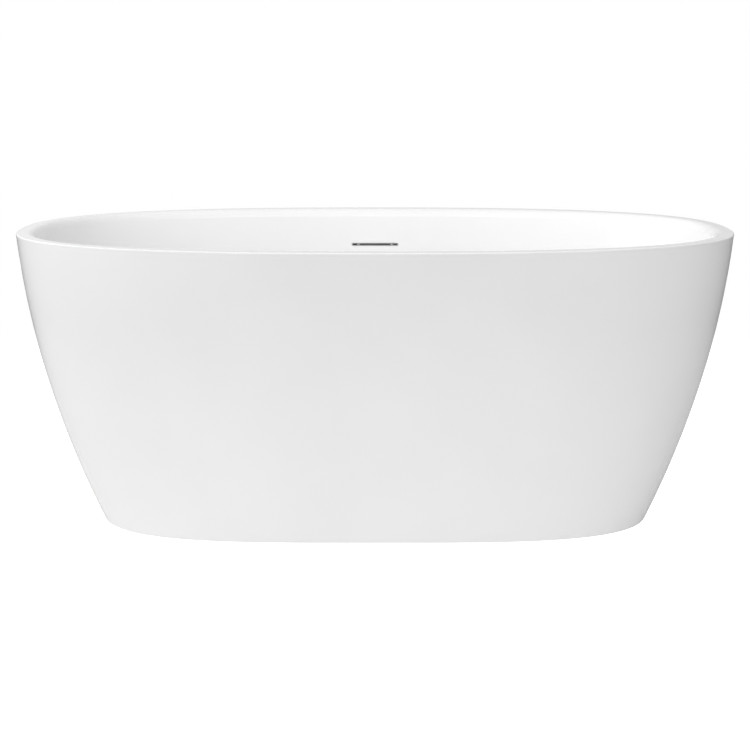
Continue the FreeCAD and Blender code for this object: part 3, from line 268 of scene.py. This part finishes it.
# ================================================================ basin
# The basin and its rolled rim are one sheet of white cast acrylic, drawn down hot over a mould. Its
# hidden side is sprayed with polyester resin and chopped glass fibre and rolled out by hand.
def acrylic(name, backed):
    """Gloss acrylic with a faint ripple from the mould. backed gives 1 where the surface shows the resin
    and glass fibre sprayed on its hidden side."""
    material, tree, shader, place = surface(name, {"IOR": 1.49})
    facing = tree.nodes["Texture Coordinate"].outputs["Normal"]
    resin = backed(tree, place, facing)
    ripple = speckle(tree, place, 26 * MM, 1.0)
    tint = blend_colours(tree, between(tree, speckle(tree, place, 180 * MM), 0.0, 1.0), "#EEEEEE", "#F0F0F0")
    strands = speckle(tree, place, 3 * MM, 5.0, (6, 1, 1))
    crossed = speckle(tree, place, 3 * MM, 5.0, (1, 6, 1))
    fibre = add(tree, "Math", {"operation": "MAXIMUM"}, {0: strands, 1: crossed}).outputs[0]
    back = blend_colours(tree, between(tree, fibre, 0.0, 1.0, 0.45, 0.75), "#CCCABC", "#E4E3DA")
    colour = add(tree, "Mix", {"data_type": "RGBA"}, {0: resin, 6: tint, 7: back}).outputs[2]
    tree.links.new(colour, shader.inputs["Base Color"])
    polish = between(tree, speckle(tree, place, 70 * MM, 3.0), 0.07, 0.1)
    tree.links.new(add(tree, "Mix", {"data_type": "FLOAT", 3: 0.42}, {0: resin, 2: polish}).outputs[0],
                   shader.inputs["Roughness"])
    shallow = add(tree, "Math", {"operation": "MULTIPLY", 1: 0.05}, {0: ripple}).outputs[0]
    relief(tree, shader, add(tree, "Mix", {"data_type": "FLOAT"},
                             {0: resin, 2: shallow, 3: fibre}).outputs[0], 0.4 * MM)
    return material


def under_basin(tree, place, facing):
    """1 on the basin's hidden side: below the rim, where it faces away from a point high above the tub."""
    high_point, rim_underside = (0.0, 0.0, 1.2), 0.5946
    from_point = add(tree, "VectorMath", {"operation": "SUBTRACT", 1: high_point}, {0: place}).outputs[0]
    away = add(tree, "VectorMath", {"operation": "DOT_PRODUCT"}, {0: from_point, 1: facing}).outputs["Value"]
    hidden = add(tree, "Math", {"operation": "GREATER_THAN", 1: 0.0}, {0: away}).outputs[0]
    height = add(tree, "SeparateXYZ", {}, {0: place}).outputs["Z"]
    below = add(tree, "Math", {"operation": "LESS_THAN", 1: rim_underside}, {0: height}).outputs[0]
    return add(tree, "Math", {"operation": "MULTIPLY"}, {0: hidden, 1: below}).outputs[0]


dress(acrylic("sanitary_acrylic_gloss_basin", under_basin), "basin_shell")


# ================================================================ waste fitting
# A chromed strainer sits in the floor's recess on a rubber ring, and screws down into a moulded waste
# body below, which takes the overflow's hose. A hand nut holds the chromed tailpiece in its spout.
def chrome_plate():
    """Bright chromium over polished brass: near-mirror, with the faintest polishing haze."""
    material, tree, shader, place = surface("chrome_plate_polished", {"Metallic": 1.0})
    haze = speckle(tree, place, 3 * MM, 4.0)
    tree.links.new(blend_colours(tree, between(tree, haze, 0.0, 1.0), "#C8CACC", "#D2D4D5"),
                   shader.inputs["Base Color"])
    tree.links.new(between(tree, haze, 0.05, 0.11), shader.inputs["Roughness"])
    return material


def black_rubber():
    """Moulded nitrile: dull black with a dusting of bloom."""
    material, tree, shader, place = surface("nitrile_rubber_moulded", {"IOR": 1.52})
    bloom = speckle(tree, place, 4 * MM, 5.0)
    tree.links.new(blend_colours(tree, between(tree, bloom, 0.0, 1.0), "#161616", "#222221"),
                   shader.inputs["Base Color"])
    tree.links.new(between(tree, bloom, 0.6, 0.75), shader.inputs["Roughness"])
    relief(tree, shader, bloom, 0.04 * MM)
    return material


def white_polypropylene():
    """Moulded polypropylene: satin, slightly waxy, with soft flow marks."""
    material, tree, shader, place = surface("polypropylene_white_satin", {"IOR": 1.49})
    flow = speckle(tree, place, 12 * MM, 3.0, (1, 1, 3))
    tree.links.new(blend_colours(tree, between(tree, flow, 0.0, 1.0), "#E4E4DF", "#EEEEEA"),
                   shader.inputs["Base Color"])
    tree.links.new(between(tree, flow, 0.3, 0.42), shader.inputs["Roughness"])
    relief(tree, shader, speckle(tree, place, 0.8 * MM), 0.02 * MM)
    return material


chrome = chrome_plate()
rubber = black_rubber()
polypropylene = white_polypropylene()
dress(chrome, "drain_strainer", "tailpiece")
dress(rubber, "drain_top_gasket", "drain_under_gasket", "slip_washer")
dress(polypropylene, "waste_body", "outlet_nut")


# ================================================================ push plug
# A domed chromed cap on a stem that slides in a cartridge in the strainer's cross. A rubber ring under
# the cap closes the mouth. One push latches it shut and the next lifts it eight millimetres.
dress(chrome, "plug_cap", "plug_stem", "plug_cartridge")
dress(rubber, "plug_seal")


# ================================================================ overflow
# A slim chromed slot in the long back wall leads to a flat moulded box bonded behind it, and a grey
# corrugated hose runs from the box down between the walls to the waste. Steel bands clamp its ends.
def brushed_stainless():
    """Rolled stainless strip: fine lines along the roll, drawn 0.4 mm apart so that they show."""
    material, tree, shader, place = surface("stainless_steel_rolled", {"Metallic": 1.0})
    lines = speckle(tree, place, 0.4 * MM, 2.0, (12, 12, 1))
    tree.links.new(blend_colours(tree, between(tree, lines, 0.0, 1.0), "#A9A7A2", "#BDBBB6"),
                   shader.inputs["Base Color"])
    tree.links.new(between(tree, lines, 0.24, 0.4), shader.inputs["Roughness"])
    relief(tree, shader, lines, 0.01 * MM)
    return material


def slot_plating():
    """Satin nickel: even and mid-grey on the lip; lighter and rougher in the throat, which isn't brushed, and
    whose lighter grey is also painted light that lifts the slot's shaded hollow.
    """
    material, tree, shader, place = surface("nickel_satin", {"Metallic": 1.0})
    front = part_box("overflow_trim")[0].y
    depth = add(tree, "SeparateXYZ", {}, {0: place}).outputs["Y"]
    throat = between(tree, depth, 0.0, 1.0, front + 1.8 * MM, front + 2.8 * MM)
    haze = speckle(tree, place, 3 * MM, 4.0)
    nickel = blend_colours(tree, between(tree, haze, 0.0, 1.0), "#8E8F90", "#969798")
    # The light grey deeper than 2.8 mm into the throat is partly the unbrushed plating and partly painted
    # light, lifting the slot's hollow out of its shade.
    colour = add(tree, "Mix", {"data_type": "RGBA", 7: linear("#CFD0D1")}, {0: throat, 6: nickel}).outputs[2]
    tree.links.new(colour, shader.inputs["Base Color"])
    satin = between(tree, haze, 0.3, 0.36)
    tree.links.new(add(tree, "Mix", {"data_type": "FLOAT", 3: 0.4}, {0: throat, 2: satin}).outputs[0],
                   shader.inputs["Roughness"])
    return material


stainless = brushed_stainless()
dress(slot_plating(), "overflow_trim")
dress(rubber, "overflow_gasket")
dress(polypropylene, "overflow_box")
dress(stainless, "overflow_screws", "hose_clamp_upper", "hose_clamp_lower")


def grey_hose():
    """Blown grey PVC: satin, with slow streaks of lighter and darker grey and a fine skin texture."""
    material, tree, shader, place = surface("pvc_hose_grey_satin", {"IOR": 1.53})
    streaks = speckle(tree, place, 5 * MM, 3.0, (1, 1, 6))
    tree.links.new(blend_colours(tree, between(tree, streaks, 0.0, 1.0), "#7E8285", "#94979A"),
                   shader.inputs["Base Color"])
    tree.links.new(between(tree, streaks, 0.38, 0.52), shader.inputs["Roughness"])
    relief(tree, shader, speckle(tree, place, 0.9 * MM), 0.03 * MM)
    return material


def hose_line(corners, share, step):
    """A line along straight runs, with each corner rounded by a parabola that takes this share of its
    shorter run, and points a step apart along its length."""
    parts = [corners[:1]]
    ease = np.linspace(0, 1, 40)[:, None]
    for before, corner, after in zip(corners, corners[1:], corners[2:]):
        back, ahead = before - corner, after - corner
        lengths = np.linalg.norm(back), np.linalg.norm(ahead)
        first = corner + back / lengths[0] * share * min(lengths)
        last = corner + ahead / lengths[1] * share * min(lengths)
        parts.append((1 - ease) ** 2 * first + 2 * ease * (1 - ease) * corner + ease ** 2 * last)
    line = np.concatenate(parts + [corners[-1:]])
    along = np.concatenate([[0], np.cumsum(np.linalg.norm(np.diff(line, axis=0), axis=1))])
    even = np.linspace(0, along[-1], int(along[-1] / step) + 1)
    return even, np.stack([np.interp(even, along, line[:, axis]) for axis in (0, 1)], -1)


def corrugated_hose():
    """A hose in the plane X = 0. Its outside dips and rises as a cosine once every 4 mm along its line,
    and stays smooth for 17 mm at each end, where it is pushed on a spigot and clamped."""
    outside, groove, bore, pitch, cuff = 13.5 * MM, 1.2 * MM, 11.1 * MM, 4 * MM, 17 * MM
    rows_per_pitch, columns = 8, 32
    box_outlet, bend_end, waste_bend, waste_inlet = [np.array(point) * MM for point in (
        (340.87, 492.75), (-89, 100), (85, 98), (32, 98))]
    corners, lean = [box_outlet], 9.75
    for run, more_lean in ((100, 1.4), (116, 1.7), (115, 0.0)):
        fall = np.array([-math.sin(math.radians(lean)), -math.cos(math.radians(lean))])
        corners.append(corners[-1] + run * MM * fall)
        lean += more_lean
    corners += [np.array([corners[-1][0] + bend_end[0], bend_end[1]]), waste_bend, waste_inlet]
    along, line = hose_line(np.array(corners), share=0.45, step=pitch / rows_per_pitch)
    way = np.gradient(line, axis=0)
    way /= np.linalg.norm(way, axis=1)[:, None]
    from_end = np.minimum(along, along[-1] - along)
    dip = (0.5 - 0.5 * np.cos(2 * math.pi * along / pitch)) ** 0.7 * np.clip((from_end - cuff) / pitch, 0, 1)
    turn = np.linspace(0, 2 * math.pi, columns, endpoint=False)[None, :]

    def tube(rows, reach):
        """Rings of this reach round the line, at the given rows."""
        reach = np.broadcast_to(reach, along.shape)[rows, None]
        place, ahead = line[rows], way[rows]
        return np.stack([reach * np.cos(turn), place[:, :1] - reach * np.sin(turn) * ahead[:, 1:],
                         place[:, 1:] + reach * np.sin(turn) * ahead[:, :1]], -1)

    there = np.arange(len(along))
    back = np.unique(np.append(there[::-rows_per_pitch], 0))[::-1]
    wall = np.concatenate([tube(there, outside - groove * dip), tube(back, bore)])
    return skin("corrugated_overflow_hose", [wall], ring=True, crease=60)


hose = corrugated_hose()
hose.data.materials.append(grey_hose())
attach(hose, "tub")
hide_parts("overflow_hose")


# ================================================================ outer shell
# The skirt is a second acrylic moulding, glued under the rim on a bead of adhesive and screwed to the
# frame's brackets round its foot. Its gloss face meets the basin's rim in one fine shadow line.
def inside_skirt(tree, place, facing):
    """1 on the skirt's hidden side: everywhere that doesn't face outwards from the tub's upright axis.
    The threshold is just over zero, so that level faces count as hidden."""
    flat = add(tree, "VectorMath", {"operation": "MULTIPLY", 1: (1.0, 1.0, 0.0)}, {0: place}).outputs[0]
    outwards = add(tree, "VectorMath", {"operation": "DOT_PRODUCT"}, {0: flat, 1: facing}).outputs["Value"]
    return add(tree, "Math", {"operation": "LESS_THAN", 1: 0.02}, {0: outwards}).outputs[0]


def cured_adhesive():
    """Polyurethane bonding bead: off-white, rubbery, a little uneven where it was squeezed."""
    material, tree, shader, place = surface("adhesive_bead_cured", {"IOR": 1.48})
    squeeze = speckle(tree, place, 6 * MM, 3.0)
    tree.links.new(blend_colours(tree, between(tree, squeeze, 0.0, 1.0), "#D8D8D2", "#E4E4DF"),
                   shader.inputs["Base Color"])
    tree.links.new(between(tree, squeeze, 0.4, 0.55), shader.inputs["Roughness"])
    relief(tree, shader, squeeze, 0.2 * MM)
    return material


dress(acrylic("sanitary_acrylic_gloss_skirt", inside_skirt), "outer_shell")
dress(cured_adhesive(), "rim_adhesive")
for corner in CORNERS:
    dress(galvanised, "skirt_bracket_" + corner)
dress(zinc, "bracket_screws")


# ================================================================ studio
# The tub stands on a round pale floor, 4.2 m across, in a white room. Soft panels to the left and in
# front light it, the room is brightest in front of the tub, and the floor looks white from above.
LIT_RADIUS = 1.0     # the floor darkens from here out to its edge
FLOOR_RADIUS = 2.1
FLOOR_DROP = 0.3 * MM    # the floor lies this far under the tub's foot, so that the two never fight
ROOM_BELOW = 0.18    # how bright the room is below the horizon


def pale_floor():
    """Matt off-white paint, with hardly any mottle. It darkens outwards, as at the end of the lit patch,
    and looks lit up to white where it is seen directly. From beneath it is clear."""
    material, tree, shader, place = surface("studio_floor_matt", {"Roughness": 0.9,
                                                                  "Emission Color": linear("#FFFFFF")})
    distance = add(tree, "VectorMath", {"operation": "LENGTH"}, {0: place}).outputs["Value"]
    outer = between(tree, distance, 0.0, 1.0, LIT_RADIUS, FLOOR_RADIUS)
    lit_glow = 0.05
    glow = between(tree, outer, lit_glow, ROOM_BELOW, 0.0, 1.0)
    seen = add(tree, "LightPath").outputs["Is Camera Ray"]
    tree.links.new(add(tree, "Mix", {"data_type": "FLOAT", 3: 1.0}, {0: seen, 2: glow}).outputs[0],
                   shader.inputs["Emission Strength"])
    mottle = speckle(tree, place, 0.6, 3.0)
    paint = blend_colours(tree, between(tree, mottle, 0.0, 1.0), "#CACACA", "#CDCDCD")
    colour = add(tree, "Mix", {"data_type": "RGBA", 7: linear("#000000")}, {0: outer, 6: paint}).outputs[2]
    tree.links.new(colour, shader.inputs["Base Color"])
    beneath = add(tree, "NewGeometry").outputs["Backfacing"]
    clear = add(tree, "BsdfTransparent")
    one_sided = add(tree, "MixShader", {}, {0: beneath, 1: shader.outputs[0], 2: clear.outputs[0]})
    tree.links.new(one_sided.outputs[0], tree.nodes["Material Output"].inputs["Surface"])
    return material


floor_corners = 96
turn = np.linspace(0, 2 * math.pi, floor_corners, endpoint=False)
floor_edge = np.stack([FLOOR_RADIUS * np.cos(turn), FLOOR_RADIUS * np.sin(turn), 0 * turn - FLOOR_DROP], -1)
floor_mesh = bpy.data.meshes.new("studio_floor")
floor_mesh.from_pydata(floor_edge.tolist(), [], [list(range(floor_corners))])
floor_mesh.materials.append(pale_floor())
studio_floor = bpy.data.objects.new("studio_floor", floor_mesh)
bpy.context.scene.collection.objects.link(studio_floor)


def panel(name, place, target, width, height, watts):
    """A soft light panel, in metres and watts, that faces a point."""
    light = bpy.data.lights.new(name, "AREA")
    light.shape = "RECTANGLE"
    light.size, light.size_y, light.energy = width, height, watts
    lamp = bpy.data.objects.new(name, light)
    bpy.context.scene.collection.objects.link(lamp)
    away = np.array(place, float) - np.array(target, float)
    lamp.location = place
    lamp.rotation_euler = (math.atan2(np.hypot(away[0], away[1]), away[2]), 0, math.atan2(away[0], -away[1]))
    return lamp


tub_middle = (0.0, 0.0, 0.35)
panel("left_panel", (-3.2, 0.3, 2.2), tub_middle, 2.0, 2.0, 28)
panel("front_panel", (0.0, -3.5, 2.6), tub_middle, 3.0, 1.5, 18.5)
panel("key_panel", (-3.2, -1.6, 2.4), tub_middle, 2.4, 1.8, 10)


def white_room():
    """The room's own light: strongest from the front, then the left, and dim from below the horizon."""
    world = bpy.data.worlds.new("white_room")
    world.use_nodes = True
    tree = world.node_tree
    tree.nodes.clear()
    way = add(tree, "SeparateXYZ", {}, {0: add(tree, "TexCoord").outputs["Generated"]}).outputs
    left = between(tree, way["X"], 1.03, 0.5, -1.0, 0.0)
    front = between(tree, way["Y"], 0.85, 0.0, -1.0, 0.0)
    sides = add(tree, "Math", {"operation": "ADD"}, {0: left, 1: front}).outputs[0]
    behind = between(tree, way["Y"], 0.0, 0.16, 0.0, 1.0)
    upper = add(tree, "Math", {"operation": "ADD"}, {0: sides, 1: behind}).outputs[0]
    above = add(tree, "Math", {"operation": "GREATER_THAN", 1: 0.0}, {0: way["Z"]}).outputs[0]
    level = add(tree, "Mix", {"data_type": "FLOAT", 2: ROOM_BELOW}, {0: above, 3: upper}).outputs[0]
    lit = add(tree, "Background", {"Color": linear("#FFFFFF")}, {"Strength": level})
    seen = add(tree, "Background", {"Color": linear("#FFFFFF"), "Strength": 1.0})
    ray = add(tree, "LightPath").outputs["Is Camera Ray"]
    shown = add(tree, "MixShader", {}, {0: ray, 1: lit.outputs[0], 2: seen.outputs[0]})
    add(tree, "OutputWorld", {}, {"Surface": shown.outputs[0]})
    return world


bpy.context.scene.world = white_room()
bpy.context.scene.view_settings.view_transform = "Standard"
bpy.context.scene.view_settings.look = "None"

# ================================================================ camera
# It stands 2.65 m in front of the tub's middle and 0.94 m up, level side to side, and is tipped down
# 14.1 degrees. The lens is a normal one for its 36 mm sensor.
lens = bpy.data.cameras.new("front_view")
lens.sensor_width = 36.0
lens.lens = 59.55
viewer = bpy.data.objects.new("front_view", lens)
viewer.location = (0.0, -2.646, 0.939)
viewer.rotation_euler = (math.radians(90 - 14.10), 0.0, 0.0)
bpy.context.scene.collection.objects.link(viewer)
bpy.context.scene.camera = viewer
